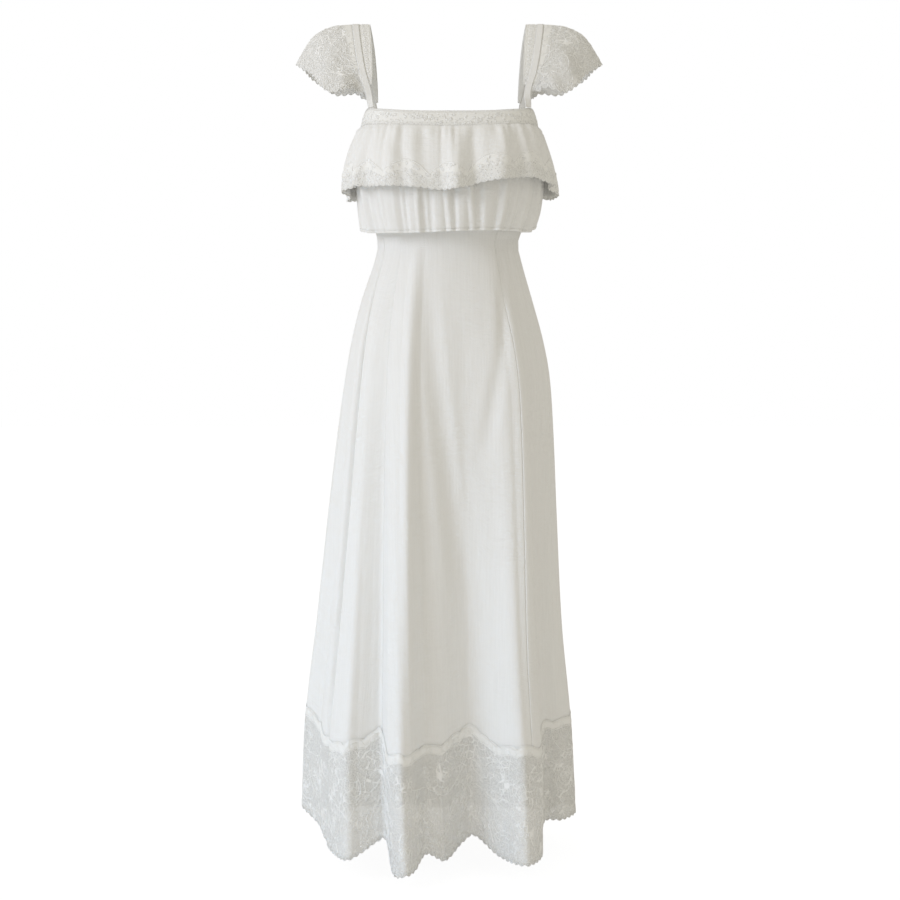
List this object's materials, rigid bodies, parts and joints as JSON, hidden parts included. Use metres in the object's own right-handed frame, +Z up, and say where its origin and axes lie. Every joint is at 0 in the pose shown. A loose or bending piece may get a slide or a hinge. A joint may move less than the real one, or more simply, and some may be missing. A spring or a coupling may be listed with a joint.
{
  "type": "ruffled slip dress",
  "caption": "Long white sleeveless slip dress with lace cap sleeves, two gathered ruffles over a fitted bodice, flared skirt and deep lace hem.",
  "frame": {"origin": "midway between the two shoulder straps, level with the underside of their highest points, where the wearer's shoulders carry them", "axes": "+Z up towards the shoulders, -Y out of the front, +X to the right as seen from the front"},
  "size_m": [0.518, 0.3438, 1.4071],
  "materials": {
    "cotton": "matt crisp cotton crepe",
    "lace": "fine net lace"
  },
  "bodies": {
    "root": {"front_center": "cotton", "front_side_left": "cotton", "front_side_right": "cotton", "back_left": "cotton", "back_right": "cotton", "ruffle_upper_front": "cotton", "ruffle_upper_back": "cotton", "ruffle_lower_front": "cotton", "ruffle_lower_back": "cotton", "strap_left": "cotton", "strap_right": "cotton", "neck_lace_front": "lace", "neck_lace_back": "lace", "ruffle_lace_front": "lace", "ruffle_lace_back": "lace", "strap_lace_left": "lace", "strap_lace_right": "lace", "sleeve_left": "lace", "sleeve_right": "lace", "hem_lace_front": "lace", "hem_lace_back": "lace"}
  },
  "joints": []
}
